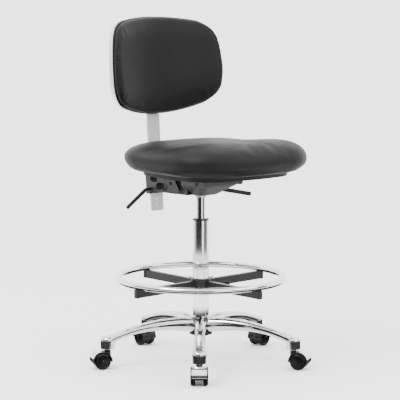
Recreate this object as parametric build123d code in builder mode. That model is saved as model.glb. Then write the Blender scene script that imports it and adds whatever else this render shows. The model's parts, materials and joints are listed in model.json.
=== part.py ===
from build123d import *
from math import cos, radians, sin
import os

# A drafting chair on a five-star base: a high gas lift with a sliding foot ring, a tilt
# mechanism with three levers, a seat, and a backrest on a flat bar that slides up and down.
#
# Millimetres. The floor is z = 0 and the column's axis is x = y = 0. The sitter faces -Y,
# so the backrest is on the +Y side and +X is the sitter's left.

os.makedirs("parts", exist_ok=True)

# ---------------------------------------------------------------- driving dimensions
# five-star base
arm_count = 5
first_arm_angle = 228.7          # where the first arm points, from +X
base_reach = 298                 # column axis to caster stem
hub_radius = 35
hub_bottom = 90
hub_top = 146
boss_radius = 21.5
boss_bottom = 62
boss_top = 99
# casters
caster_wheel_radius = 25.4
caster_trail = 20
caster_width = 52
caster_web_width = 20
caster_axle_radius = 3
caster_stem_radius = 5.5
caster_fender_gap = 1.6
caster_fender_wall = 3
caster_hood_width = 44
caster_hood_wall = 1.5
# gas lift
outer_tube_radius = 25
outer_tube_wall = 2
outer_tube_top = 445
inner_tube_radius = 14
inner_tube_wall = 2
inner_tube_bottom = 176
inner_tube_top = 549
rod_radius = 5
piston_height = 350
# foot ring
ring_height = 267                # centre of the ring's tube above the floor
ring_radius = 254                # to the centre of the ring's tube
ring_tube_radius = 10
spider_arm_height = 25
spider_arm_width = 14
spider_turn = 2                  # first spider arm, from +X
spider_collar_wall = 7
# tilt mechanism
sheet = 3
housing_bottom = 525
housing_rim = 557
housing_top = 578
housing_half_width = 70
housing_front = -96
housing_rear = 22
seat_plate_top = 592
seat_plate_half_width = 80
seat_plate_front = -104
seat_plate_rear = 150
seat_pin_y = -72
seat_pin_z = 566
back_pin_y = 68
back_pin_z = 556
pin_radius = 5
channel_half_width = 55
channel_rear = 112
channel_top = 572
bracket_half_width = 67
bracket_front = 24
bracket_rear = 180
bracket_top = 584
bracket_bottom = 526
# levers
lever_rod_radius = 4
height_lever_y = 0
height_pivot_x = 42
height_pivot_z = 547
tilt_lever_y = 92
tilt_lever_z = 540
back_lever_y = 158
back_lever_z = 531
bent_rod_radius = 6
# backrest and its bar
back_lean = 4                    # degrees from upright
bar_width = 48
bar_thickness = 6
bar_y = 219                      # bar's mid-plane at the height of bar_z
bar_z = 545
bar_below = 92                   # along the bar, below bar_z
bar_above = 416                  # along the bar, above bar_z
back_low = 214                   # along the bar, from bar_z to the backrest's lower edge
back_height = 306
back_width = 430
back_corner = 78
back_curve = 390                 # radius of the pan in plan
back_pan_sheet = 1.5
back_pan_lip = 14
back_cushion_thickness = 46
# seat
seat_width = 497
seat_depth = 484
seat_centre_y = -67
seat_corner = 150
seat_board_thickness = 12
seat_board_inset = 60
seat_cushion_front = 98           # thickness at the front roll
seat_cushion_rear = 66            # thickness at the rear edge
seat_cushion_skirt = 6           # how far the cushion reaches below the board's top
# clearances
running_gap = 0.08               # radial, pins and shafts that turn
slide_gap = 0.4                  # between sliding pieces
soft_gap = 0.4                   # round soft pieces


def export_piece(piece, name):
    """Label a finished piece and write it to its own STEP file."""
    piece.part.label = name
    export_step(piece.part, f"parts/{name}.step")


def around(angle, radius, height):
    """A plane at a place round the column, its x axis pointing outwards."""
    outward = (cos(radians(angle)), sin(radians(angle)), 0)
    return Plane(
        origin=(radius * outward[0], radius * outward[1], height), x_dir=outward, z_dir=(0, 0, 1)
    )


arm_angles = [first_arm_angle + 360 / arm_count * index for index in range(arm_count)]

# ---------------------------------------------------------------- five-star base
# One arched arm, lofted outwards through rounded sections, ending in a caster boss.
# station: radius, top, bottom, width
arm_stations = [
    (0.06 * base_reach, 140, 94, 42),
    (0.27 * base_reach, 143, 104, 36),
    (0.50 * base_reach, 137, 107, 32),
    (0.74 * base_reach, 123, 99, 31),
    (0.92 * base_reach, 107, 82, 34),
    (1.00 * base_reach, boss_top, 72, 38),
]
with BuildPart() as star_arm:
    for radius, top, bottom, width in arm_stations:
        section = Plane(origin=(radius, 0, (top + bottom) / 2), x_dir=(0, 1, 0), z_dir=(1, 0, 0))
        with BuildSketch(section):
            RectangleRounded(width, top - bottom, 0.42 * (top - bottom))
    loft()
    with BuildSketch(Plane.XY.offset(boss_bottom)):
        with Locations((base_reach, 0)):
            Circle(boss_radius)
    extrude(amount=boss_top - boss_bottom)
    fillet(edges().filter_by(GeomType.CIRCLE).group_by(Axis.Z)[-1], 0.55 * boss_radius)

stem_socket_depth = 28
with BuildPart() as base_casting:
    with BuildSketch(Plane.XY.offset(hub_bottom)):
        Circle(hub_radius)
    extrude(amount=hub_top - hub_bottom)
    with PolarLocations(0, arm_count, start_angle=first_arm_angle):
        add(star_arm.part)
    with BuildSketch(Plane.XY.offset(hub_bottom)):
        Circle(outer_tube_radius)
    extrude(amount=hub_top - hub_bottom, mode=Mode.SUBTRACT)
    with BuildSketch(Plane.XY.offset(boss_bottom)):
        with PolarLocations(base_reach, arm_count, start_angle=first_arm_angle):
            Circle(caster_stem_radius)
    extrude(amount=stem_socket_depth, mode=Mode.SUBTRACT)
export_piece(base_casting, "base_casting")

# ---------------------------------------------------------------- casters
axle_height = caster_wheel_radius
web_half = caster_web_width / 2
wheel_inner = web_half + 0.7
wheel_outer = caster_width / 2
wheel_bore_depth = 0.72 * (wheel_outer - wheel_inner)
fender_inner = caster_wheel_radius + caster_fender_gap
fender_outer = fender_inner + caster_fender_wall
hood_outer = fender_outer + caster_hood_wall
tail_outer = caster_wheel_radius - 1.4
stem_collar_bottom = axle_height + hood_outer + 1
socket_top = stem_collar_bottom - 0.6
socket_radius = web_half


def band(inner, outer, start, end):
    """A ring sector in the current sketch, from start to end in degrees."""
    Circle(outer)
    Circle(inner, mode=Mode.SUBTRACT)
    far = 2 * outer
    steps = 4
    turns = [start + (end - start) * step / steps for step in range(steps + 1)]
    rays = [(far * cos(radians(turn)), far * sin(radians(turn))) for turn in turns]
    Polygon((0, 0), *rays, align=None, mode=Mode.INTERSECT)


with BuildPart() as caster_stems:
    for angle in arm_angles:
        with BuildSketch(around(angle, base_reach, axle_height + 3)):
            Circle(caster_stem_radius)
        extrude(amount=boss_bottom + stem_socket_depth - axle_height - 3)
        with BuildSketch(around(angle, base_reach, stem_collar_bottom)):
            Circle(1.5 * caster_stem_radius)
        extrude(amount=boss_bottom - stem_collar_bottom)
export_piece(caster_stems, "caster_stems")

for index, angle in enumerate(arm_angles):
    caster = f"caster_{index + 1}"
    swivel = around(angle, base_reach, 0)
    outward = swivel.x_dir
    sideways = swivel.y_dir
    hub = swivel.origin + outward * caster_trail + Vector(0, 0, axle_height)
    # sketches in this plane have x outwards and y up, and extrude sideways
    side = Plane(origin=hub, x_dir=outward, z_dir=-sideways)

    with BuildPart() as caster_body:
        with BuildSketch(side):
            Circle(fender_inner - 4.5)
            with Locations((-caster_trail / 2, fender_inner / 2)):
                Rectangle(caster_trail, fender_inner)
        extrude(amount=web_half, both=True)
        with BuildSketch(side):
            band(fender_inner, fender_outer, -4, 184)
        extrude(amount=0.49 * caster_width, both=True)
        with BuildSketch(side):
            band(fender_inner - 6, fender_inner + 1, 20, 160)
        extrude(amount=web_half, both=True)
        with BuildSketch(around(angle, base_reach, axle_height)):
            Circle(socket_radius)
        extrude(amount=socket_top - axle_height)
        with BuildSketch(around(angle, base_reach, axle_height - 4)):
            Circle(caster_stem_radius + running_gap)
        extrude(amount=socket_top, mode=Mode.SUBTRACT)
        with BuildSketch(side):
            Circle(caster_axle_radius)
        extrude(amount=web_half, both=True, mode=Mode.SUBTRACT)
    export_piece(caster_body, f"{caster}_body")

    with BuildPart() as caster_hood:
        with BuildSketch(side):
            band(fender_outer, hood_outer, -4, 96)
        extrude(amount=caster_hood_width / 2, both=True)
        with BuildSketch(side):
            band(fender_inner - 4.5, tail_outer, -68, -1)
        extrude(amount=web_half - 0.3, both=True)
        with BuildSketch(side):
            band(fender_inner - 4.5, hood_outer, -7, -4)
        extrude(amount=web_half - 0.3, both=True)
    export_piece(caster_hood, f"{caster}_hood")

    with BuildPart() as caster_axle:
        with BuildSketch(side):
            Circle(caster_axle_radius)
        extrude(amount=wheel_inner + wheel_bore_depth - 0.5, both=True)
    export_piece(caster_axle, f"{caster}_axle")

    for letter, hand in (("a", 1), ("b", -1)):
        face = Plane(origin=hub + side.z_dir * (hand * wheel_inner), x_dir=outward, z_dir=side.z_dir * hand)
        with BuildPart() as caster_wheel:
            with BuildSketch(face):
                Circle(caster_wheel_radius)
            extrude(amount=wheel_outer - wheel_inner)
            rims = edges().filter_by(GeomType.CIRCLE).sort_by(lambda edge: (edge.center() - hub).length)
            fillet(rims[-1], 8)
            outer_circle = edges().filter_by(GeomType.CIRCLE).sort_by(
                lambda edge: (edge.center() - hub).length
            )[0]
            fillet(outer_circle, 1.2)
            with BuildSketch(face):
                Circle(0.76 * caster_wheel_radius)
                Circle(0.36 * caster_wheel_radius, mode=Mode.SUBTRACT)
            extrude(amount=0.5 * (wheel_outer - wheel_inner), mode=Mode.SUBTRACT)
            with BuildSketch(face):
                Circle(caster_axle_radius + running_gap)
            extrude(amount=wheel_bore_depth, mode=Mode.SUBTRACT)
        export_piece(caster_wheel, f"{caster}_wheel_{letter}")

# ---------------------------------------------------------------- gas lift
tube_bottom = hub_bottom - 4
floor_plate = 4
with BuildPart() as outer_tube:
    with BuildSketch(Plane.XY.offset(tube_bottom)):
        Circle(outer_tube_radius)
    extrude(amount=outer_tube_top - tube_bottom)
    with BuildSketch(Plane.XY.offset(tube_bottom + floor_plate)):
        Circle(outer_tube_radius - outer_tube_wall)
    extrude(amount=outer_tube_top - tube_bottom, mode=Mode.SUBTRACT)
    with BuildSketch(Plane.XY.offset(tube_bottom)):
        Circle(rod_radius + running_gap)
    extrude(amount=floor_plate, mode=Mode.SUBTRACT)
export_piece(outer_tube, "column_outer_tube")

guide_length = 96
guide_flange = 5
with BuildPart() as guide_bush:
    with BuildSketch(Plane.XY.offset(outer_tube_top - guide_length)):
        Circle(outer_tube_radius - outer_tube_wall)
    extrude(amount=guide_length)
    with BuildSketch(Plane.XY.offset(outer_tube_top)):
        Circle(outer_tube_radius)
    extrude(amount=guide_flange)
    chamfer(edges().filter_by(GeomType.CIRCLE).group_by(Axis.Z)[-1], 1.5)
    with BuildSketch(Plane.XY.offset(outer_tube_top - guide_length)):
        Circle(inner_tube_radius + running_gap)
    extrude(amount=guide_length + guide_flange, mode=Mode.SUBTRACT)
export_piece(guide_bush, "column_guide_bush")

bearing_height = 6
rod_seat = tube_bottom + floor_plate
with BuildPart() as thrust_bearing:
    with BuildSketch(Plane.XY.offset(rod_seat)):
        Circle(2.2 * rod_radius)
        Circle(rod_radius + running_gap, mode=Mode.SUBTRACT)
    extrude(amount=bearing_height)
export_piece(thrust_bearing, "column_thrust_bearing")

clip_thickness = 1.6
with BuildPart() as retaining_clip:
    with BuildSketch(Plane.XY.offset(tube_bottom - 0.4 - clip_thickness)):
        Circle(2 * rod_radius)
        Circle(rod_radius, mode=Mode.SUBTRACT)
        with Locations((rod_radius * 1.6, 0)):
            Rectangle(rod_radius * 2, rod_radius * 0.8, mode=Mode.SUBTRACT)
    extrude(amount=clip_thickness)
export_piece(retaining_clip, "column_retaining_clip")

piston_radius = inner_tube_radius - inner_tube_wall - running_gap
with BuildPart() as piston_rod:
    with BuildSketch(Plane.XY.offset(tube_bottom - 6)):
        Circle(rod_radius)
    extrude(amount=piston_height - tube_bottom + 6)
    with BuildSketch(Plane.XY.offset(rod_seat + bearing_height + 0.3)):
        Circle(1.6 * rod_radius)
    extrude(amount=3)
    with BuildSketch(Plane.XY.offset(piston_height)):
        Circle(piston_radius)
    extrude(amount=12)
export_piece(piston_rod, "column_piston_rod")

taper_bottom = housing_bottom - 8
taper_height = inner_tube_top - taper_bottom - 2
pin_hole_radius = 3
with BuildPart() as inner_tube:
    with BuildSketch(Plane.XY.offset(inner_tube_bottom)):
        Circle(inner_tube_radius)
    extrude(amount=inner_tube_top - inner_tube_bottom)
    with BuildSketch(Plane.XY.offset(inner_tube_bottom)):
        Circle(inner_tube_radius - inner_tube_wall)
    extrude(amount=taper_bottom - inner_tube_bottom - 10, mode=Mode.SUBTRACT)
    with BuildSketch(Plane.XY.offset(taper_bottom - 10)):
        Circle(pin_hole_radius + running_gap)
    extrude(amount=inner_tube_top - taper_bottom + 10, mode=Mode.SUBTRACT)
    chamfer(edges().filter_by(GeomType.CIRCLE).group_by(Axis.Z)[-1].sort_by(SortBy.RADIUS)[-1], 1)
export_piece(inner_tube, "column_inner_tube")

with BuildPart() as rod_guide:
    with BuildSketch(Plane.XY.offset(inner_tube_bottom + 1)):
        Circle(inner_tube_radius - inner_tube_wall)
        Circle(rod_radius + running_gap, mode=Mode.SUBTRACT)
    extrude(amount=16)
export_piece(rod_guide, "column_rod_guide")

valve_pin_rise = 8
with BuildPart() as valve_pin:
    with BuildSketch(Plane.XY.offset(inner_tube_top - 22)):
        Circle(pin_hole_radius)
    extrude(amount=22 + valve_pin_rise)
    chamfer(edges().group_by(Axis.Z)[-1], 0.8)
export_piece(valve_pin, "column_valve_pin")

# ---------------------------------------------------------------- foot ring
spider_top = ring_height - ring_tube_radius + 1
spider_bottom = spider_top - spider_arm_height
collar_inner = outer_tube_radius + slide_gap
collar_outer = collar_inner + spider_collar_wall
spider_reach = ring_radius + ring_tube_radius - 2

ring_plane = Plane(origin=(ring_radius, 0, ring_height), x_dir=(1, 0, 0), z_dir=(0, -1, 0))
with BuildPart() as foot_ring:
    with BuildSketch(ring_plane):
        Circle(ring_tube_radius)
    revolve(axis=Axis.Z, revolution_arc=360)
    with BuildSketch(ring_plane):
        Circle(ring_tube_radius - 2)
    revolve(axis=Axis.Z, revolution_arc=360, mode=Mode.SUBTRACT)
export_piece(foot_ring, "foot_ring")

clamp_screw_radius = 4
clamp_knob_radius = 9
clamp_knob_reach = 90
clamp_direction = around(spider_turn - 45, 0, 0).x_dir
knob_plane = Plane(
    origin=(0, 0, spider_bottom + spider_arm_height / 2), x_dir=(0, 0, 1), z_dir=clamp_direction
)
with BuildPart() as ring_spider:
    with BuildSketch(Plane.XY.offset(spider_bottom)):
        with PolarLocations(spider_reach / 2, 4, start_angle=spider_turn):
            Rectangle(spider_reach, spider_arm_width)
    extrude(amount=spider_arm_height)
    with BuildSketch(Plane.XY.offset(spider_bottom)):
        with PolarLocations((spider_reach + collar_outer) / 2, 4, start_angle=spider_turn):
            Rectangle(spider_reach - collar_outer, spider_arm_width - 2 * 2)
    extrude(amount=spider_arm_height - 2, mode=Mode.SUBTRACT)
    with BuildSketch(Plane.XY.offset(spider_bottom - 3)):
        Circle(collar_outer)
    extrude(amount=spider_arm_height + 9)
    with BuildSketch(Plane.XY.offset(spider_bottom - 3)):
        Circle(collar_inner)
    extrude(amount=spider_arm_height + 9, mode=Mode.SUBTRACT)
    with BuildSketch(ring_plane):
        Circle(ring_tube_radius)
    revolve(axis=Axis.Z, revolution_arc=360, mode=Mode.SUBTRACT)
    with BuildSketch(knob_plane):
        Circle(clamp_screw_radius + running_gap)
    extrude(amount=collar_outer + 1, mode=Mode.SUBTRACT)
export_piece(ring_spider, "ring_spider")

cap_length = 12
cap_proud = 3
with BuildPart() as spider_caps:
    for quarter in range(4):
        with BuildSketch(around(spider_turn + 90 * quarter, spider_reach, spider_bottom - 0.5)):
            with Locations((cap_proud - cap_length / 2, 0)):
                RectangleRounded(cap_length, spider_arm_width + 2, 3)
        extrude(amount=spider_arm_height - 1)
    with BuildSketch(Plane.XY.offset(spider_bottom)):
        with PolarLocations(spider_reach / 2, 4, start_angle=spider_turn):
            Rectangle(spider_reach, spider_arm_width)
    extrude(amount=spider_arm_height, mode=Mode.SUBTRACT)
    with BuildSketch(ring_plane):
        Circle(ring_tube_radius)
    revolve(axis=Axis.Z, revolution_arc=360, mode=Mode.SUBTRACT)
export_piece(spider_caps, "spider_end_caps")

with BuildPart() as clamp_knob:
    with BuildSketch(knob_plane.offset(outer_tube_radius + 0.3)):
        Circle(clamp_screw_radius)
    extrude(amount=clamp_knob_reach - outer_tube_radius - 4)
    with BuildSketch(knob_plane.offset(clamp_knob_reach - 18)):
        Circle(clamp_knob_radius)
        with PolarLocations(clamp_knob_radius, 6):
            Circle(1.6, mode=Mode.SUBTRACT)
    extrude(amount=18)
    chamfer(faces().sort_by(Axis(origin=(0, 0, 0), direction=clamp_direction))[-1].edges(), 1)
export_piece(clamp_knob, "ring_clamp_knob")

with BuildPart() as clamp_lugs:
    for turn in (-45, 135):
        seat_of_nut = around(spider_turn + turn, collar_outer + 2, spider_bottom + spider_arm_height + 6)
        with BuildSketch(seat_of_nut):
            RegularPolygon(5.5, 6)
            Circle(2, mode=Mode.SUBTRACT)
        extrude(amount=6)
export_piece(clamp_lugs, "ring_clamp_nuts")

# ---------------------------------------------------------------- tilt mechanism
side_plane = Plane(origin=(0, 0, 0), x_dir=(0, 1, 0), z_dir=(1, 0, 0))   # sketches read (Y, Z)


def hull_section(height, half_width, front, rear, corner, inset):
    """One level of the flared housing, as a sketch rounded in plan."""
    with BuildSketch(Plane.XY.offset(height)) as level:
        with Locations((0, (front + rear) / 2)):
            RectangleRounded(
                2 * (half_width - inset), rear - front - 2 * inset, max(corner - inset, 2)
            )
    return level.sketch


hull_foot = (33, -38, 30, 9)       # half width, front, rear, corner at the bottom
hull_top = (housing_half_width, housing_front, housing_rear, 20)
outside_foot = hull_section(housing_bottom, *hull_foot, 0)
outside_rim = hull_section(housing_rim, *hull_top, 0)
inside_foot = hull_section(housing_bottom + sheet, *hull_foot, sheet)
inside_rim = hull_section(housing_rim, *hull_top, sheet)
with BuildPart() as mechanism_housing:
    loft(sections=[outside_foot, outside_rim])
    extrude(outside_rim, amount=housing_top - housing_rim)
    with BuildSketch(Plane.XY.offset(housing_bottom)):
        with Locations((0, channel_rear / 2)):
            Rectangle(2 * channel_half_width, channel_rear)
    extrude(amount=channel_top - housing_bottom)
    # hollow inside, open at the top
    loft(sections=[inside_foot, inside_rim], mode=Mode.SUBTRACT)
    extrude(inside_rim, amount=housing_top - housing_rim, mode=Mode.SUBTRACT)
    with BuildSketch(Plane.XY.offset(housing_bottom + sheet)):
        with Locations((0, (channel_rear - sheet) / 2)):
            Rectangle(2 * (channel_half_width - sheet), channel_rear - sheet)
    extrude(amount=housing_top, mode=Mode.SUBTRACT)
    with BuildSketch(side_plane):
        with Locations((channel_rear, channel_top)):
            Rectangle(2 * 16, 2 * 12)
    extrude(amount=channel_half_width + 1, both=True, mode=Mode.SUBTRACT)
    with BuildSketch(Plane.XY.offset(housing_bottom - 1)):
        Circle(inner_tube_radius + 5)
    extrude(amount=sheet + 2, mode=Mode.SUBTRACT)
    with BuildSketch(side_plane):
        with Locations((seat_pin_y, seat_pin_z), (back_pin_y, back_pin_z)):
            Circle(pin_radius)
        with Locations((tilt_lever_y, tilt_lever_z)):
            Circle(lever_rod_radius + running_gap)
    extrude(amount=housing_half_width + 1, both=True, mode=Mode.SUBTRACT)
    # slot that the height lever comes out of, on the sitter's left
    with BuildSketch(side_plane):
        with Locations((height_lever_y, height_pivot_z - 4)):
            Rectangle(2 * lever_rod_radius + 6, 34)
    extrude(amount=housing_half_width + 1, mode=Mode.SUBTRACT)
export_piece(mechanism_housing, "mechanism_housing")

with BuildPart() as taper_bush:
    with BuildSketch(Plane.XY.offset(taper_bottom)):
        Circle(inner_tube_radius + 5)
        Circle(inner_tube_radius, mode=Mode.SUBTRACT)
    extrude(amount=taper_height)
    chamfer(edges().filter_by(GeomType.CIRCLE).group_by(Axis.Z)[0].sort_by(SortBy.RADIUS)[-1], 1)
export_piece(taper_bush, "mechanism_taper_bush")

# the two pivot pins; shoulders on the seat's pin keep the plate's sides off the housing
shoulder = seat_plate_half_width - sheet - housing_half_width - 0.8
with BuildPart() as pivot_pins:
    with BuildSketch(side_plane):
        with Locations((seat_pin_y, seat_pin_z)):
            Circle(pin_radius)
    extrude(amount=seat_plate_half_width + 3, both=True)
    with BuildSketch(side_plane):
        with Locations((back_pin_y, back_pin_z)):
            Circle(pin_radius)
    extrude(amount=bracket_half_width + 3, both=True)
    for plane in (
        side_plane.offset(housing_half_width + 0.4),
        side_plane.offset(-housing_half_width - 0.4 - shoulder),
    ):
        with BuildSketch(plane):
            with Locations((seat_pin_y, seat_pin_z)):
                Circle(2 * pin_radius)
        extrude(amount=shoulder)
export_piece(pivot_pins, "pivot_pins")

# a torsion spring wound on the back pivot pin
spring_wire = 2
spring_radius = pin_radius + spring_wire + 1.2
spring_length = 44
with BuildPart() as back_spring:
    for side_of_middle in (-1, 1):
        start = side_of_middle * (channel_half_width - sheet - 2 - spring_length / 2)
        coil_base = Plane(
            origin=(start - spring_length / 2 + spring_wire, back_pin_y, back_pin_z),
            x_dir=(0, 1, 0), z_dir=(1, 0, 0),
        )
        coil = coil_base.from_local_coords(
            Helix(pitch=2 * spring_wire + 1.6, height=spring_length - 2 * spring_wire, radius=spring_radius)
        )
        with BuildSketch(Plane(origin=coil @ 0, z_dir=coil % 0)):
            Circle(spring_wire)
        sweep(path=coil)
export_piece(back_spring, "back_return_springs")

# the seat's stamped plate: a shallow channel upside down, deeper at the front
flange_points = [
    (seat_plate_front, seat_plate_top),
    (seat_plate_front, housing_rim + 4),
    (seat_plate_front + 10, housing_rim),
    (-27, housing_rim + 2),
    (-13, housing_rim + 12),
    (-25, housing_top),
    (-10, seat_plate_top - 12),
    (seat_plate_rear, seat_plate_top - 10),
    (seat_plate_rear, seat_plate_top),
]
plate_inside = seat_plate_rear - seat_plate_front
seat_bolt_x = 50
seat_bolt_y = 78
bolt_radius = 3
bolt_gap = 0.2
with BuildPart() as seat_plate:
    with BuildSketch(side_plane):
        with BuildLine():
            Polyline(*flange_points, close=True)
        make_face()
    extrude(amount=seat_plate_half_width, both=True)
    with BuildSketch(Plane.XY.offset(seat_plate_top - sheet)):
        with Locations((0, seat_plate_front + sheet + plate_inside / 2)):
            Rectangle(2 * (seat_plate_half_width - sheet), plate_inside)
    extrude(amount=-seat_plate_top, mode=Mode.SUBTRACT)
    with BuildSketch(side_plane):
        with Locations((seat_pin_y, seat_pin_z)):
            Circle(pin_radius + running_gap)
        with Locations((-30, seat_plate_top - 19)):
            Circle(3.4)
    extrude(amount=seat_plate_half_width + 1, both=True, mode=Mode.SUBTRACT)
    with BuildSketch(Plane.XY.offset(seat_plate_top - sheet)):
        with GridLocations(2 * seat_bolt_x, 2 * seat_bolt_y, 2, 2):
            Circle(bolt_radius + bolt_gap)
    extrude(amount=sheet, mode=Mode.SUBTRACT)
export_piece(seat_plate, "seat_plate")

# ---------------------------------------------------------------- back bracket
bracket_outline = [
    (bracket_front, bracket_bottom + 12),
    (back_pin_y - 13, bracket_top),
    (bracket_rear, bracket_top),
    (bracket_rear, bracket_bottom + 2),
    (bracket_rear - 60, bracket_bottom),
    (bracket_front + 14, bracket_bottom),
]
with BuildPart() as back_bracket:
    with BuildSketch(side_plane.offset(-bracket_half_width)):
        with BuildLine():
            Polyline(*bracket_outline, close=True)
        make_face()
        fillet(vertices().sort_by(Axis.Y)[0:1], 6)
        with Locations((back_pin_y, back_pin_z)):
            Circle(pin_radius + running_gap, mode=Mode.SUBTRACT)
        with Locations((148, 564)):
            SlotOverall(34, 18, mode=Mode.SUBTRACT)
        with Locations((107, 543)):
            SlotOverall(58, 24, mode=Mode.SUBTRACT)
        with Locations((92, 570)):
            SlotOverall(15, 4, rotation=90, mode=Mode.SUBTRACT)
        with Locations((back_lever_y, back_lever_z)):
            Circle(bent_rod_radius + running_gap, mode=Mode.SUBTRACT)
    extrude(amount=sheet)
    mirror(about=Plane.YZ)
    with BuildSketch(Plane.XY.offset(bracket_bottom + 2)):
        with Locations((0, bracket_rear - sheet / 2)):
            Rectangle(2 * bracket_half_width, sheet)
    extrude(amount=bracket_top - bracket_bottom - 2)
    # a top flange that stiffens each side plate
    with BuildSketch(Plane.XY.offset(bracket_top - sheet)):
        with Locations((-bracket_half_width + 8, 125), (bracket_half_width - 8, 125)):
            Rectangle(16, 110)
    extrude(amount=sheet)
export_piece(back_bracket, "back_bracket")

# ---------------------------------------------------------------- levers
with BuildPart() as height_lever:
    with BuildLine() as height_line:
        FilletPolyline(
            (2, height_lever_y, height_pivot_z + 15),
            (height_pivot_x, height_lever_y, height_pivot_z),
            (120, height_lever_y, height_pivot_z - 20),
            radius=10,
        )
    with BuildSketch(Plane(origin=height_line.line @ 0, z_dir=height_line.line % 0)):
        Circle(lever_rod_radius)
    sweep()
    with BuildSketch(Plane.XZ.offset(-height_lever_y)):
        with Locations((height_pivot_x, height_pivot_z)):
            Circle(lever_rod_radius + 2)
    extrude(amount=9, both=True)
export_piece(height_lever, "height_lever_rod")

paddle_slope = -0.2
paddle_thickness = 13
with BuildPart() as height_paddle:
    with BuildSketch(Plane(
        origin=(96, height_lever_y, height_pivot_z - 15),
        x_dir=(1, 0, paddle_slope),
        z_dir=(-paddle_slope, 0, 1),
    ).offset(-paddle_thickness / 2 - 0.5)):
        with BuildLine():
            Polyline((0, -9), (30, -13), (106, -12), (106, 12), (30, 13), (0, 9), close=True)
        make_face()
        fillet(vertices(), 4)
    extrude(amount=paddle_thickness)
    fillet(faces().sort_by(Axis.Z)[-1].edges(), 2)
    add(height_lever.part, mode=Mode.SUBTRACT)
export_piece(height_paddle, "height_lever_paddle")

with BuildPart() as tilt_lever:
    with BuildSketch(side_plane.offset(-channel_half_width - 3)):
        with Locations((tilt_lever_y, tilt_lever_z)):
            Circle(lever_rod_radius)
    extrude(amount=channel_half_width + 3 + 140)
    with BuildSketch(side_plane.offset(-18)):
        with Locations((tilt_lever_y, tilt_lever_z)):
            Circle(lever_rod_radius + 3)
            Rectangle(6, 22)
    extrude(amount=36)
export_piece(tilt_lever, "tilt_lever_shaft")

with BuildPart() as tilt_paddle:
    with BuildSketch(Plane.XY.offset(tilt_lever_z - paddle_thickness / 2)):
        with BuildLine():
            Polyline(
                (112, tilt_lever_y - 10), (142, tilt_lever_y - 14), (198, tilt_lever_y - 11),
                (198, tilt_lever_y + 11), (142, tilt_lever_y + 14), (112, tilt_lever_y + 10), close=True,
            )
        make_face()
        fillet(vertices(), 4)
    extrude(amount=paddle_thickness)
    fillet(faces().sort_by(Axis.Z)[-1].edges(), 2)
    add(tilt_lever.part, mode=Mode.SUBTRACT)
export_piece(tilt_paddle, "tilt_lever_paddle")

with BuildPart() as back_lever:
    with BuildLine() as back_lever_line:
        FilletPolyline(
            (bracket_half_width - 4, back_lever_y, back_lever_z),
            (-bracket_half_width - 24, back_lever_y, back_lever_z),
            (-172, back_lever_y - 12, back_lever_z - 48),
            radius=18,
        )
    with BuildSketch(Plane(origin=back_lever_line.line @ 0, z_dir=back_lever_line.line % 0)):
        Circle(bent_rod_radius)
    sweep()
export_piece(back_lever, "back_lever_rod")

# ---------------------------------------------------------------- back bar and its guide
lean = radians(back_lean)
bar_plane = Plane(origin=(0, bar_y, bar_z), x_dir=(1, 0, 0), z_dir=(0, -cos(lean), sin(lean)))
bar_half = bar_thickness / 2
guide_half_width = bar_width / 2 + 11
guide_half_height = 36
guide_plate = 4
# local to bar_plane: x across, y up along the bar, z towards the sitter
with BuildPart() as bar_guide:
    with BuildSketch(bar_plane.offset(bar_half + slide_gap)):
        Rectangle(2 * guide_half_width, 2 * guide_half_height)
    extrude(amount=guide_plate)
    with BuildSketch(bar_plane.offset(-bar_half - slide_gap - guide_plate)):
        Rectangle(2 * guide_half_width, 2 * guide_half_height)
    extrude(amount=guide_plate)
    with BuildSketch(bar_plane.offset(-bar_half - slide_gap)):
        with Locations((bar_width / 2 + slide_gap + 5, 0), (-bar_width / 2 - slide_gap - 5, 0)):
            Rectangle(10, 2 * guide_half_height)
    extrude(amount=bar_thickness + 2 * slide_gap)
    with BuildSketch(side_plane):
        with BuildLine():
            Polyline(
                (bracket_rear, bracket_bottom + 6),
                (bar_y - 6, bracket_bottom + 6),
                (bar_y - 2, bracket_top - 6),
                (bracket_rear, bracket_top - 6),
                close=True,
            )
        make_face()
    extrude(amount=guide_half_width, both=True)
    with BuildSketch(bar_plane.offset(-bar_half - slide_gap)):
        Rectangle(bar_width + 2 * slide_gap, 8 * guide_half_height)
    extrude(amount=bar_thickness + 2 * slide_gap, mode=Mode.SUBTRACT)
    with BuildSketch(Plane.XY.offset(bracket_bottom)):
        with Locations((0, (bracket_rear + bar_y - 14) / 2)):
            Rectangle(2 * guide_half_width - 8, bar_y - bracket_rear - 20)
    extrude(amount=bracket_top, mode=Mode.SUBTRACT)
export_piece(bar_guide, "back_bar_guide")

stop_hole_radius = 3.5
back_bolt_x = 26
back_bolt_y = 90
stop_holes = (-bar_below + 18, -bar_below + 37)
with BuildPart() as back_bar:
    with BuildSketch(bar_plane.offset(-bar_half)):
        with Locations((0, (bar_above - bar_below) / 2)):
            RectangleRounded(bar_width, bar_above + bar_below, 6)
        for along in stop_holes:
            with Locations((0, along)):
                Circle(stop_hole_radius, mode=Mode.SUBTRACT)
        with Locations((0, back_low + back_height / 2)):
            with GridLocations(back_bolt_x, back_bolt_y, 2, 2):
                Circle(bolt_radius + bolt_gap, mode=Mode.SUBTRACT)
    extrude(amount=bar_thickness)
export_piece(back_bar, "back_bar")

# ---------------------------------------------------------------- backrest
back_top = back_low + back_height
arc_plane = Plane(
    origin=bar_plane.from_local_coords((0, back_low - 20, 0)), x_dir=(1, 0, 0), z_dir=bar_plane.y_dir
)
back_reach = 150                 # further towards the sitter than any of the backrest


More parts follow.
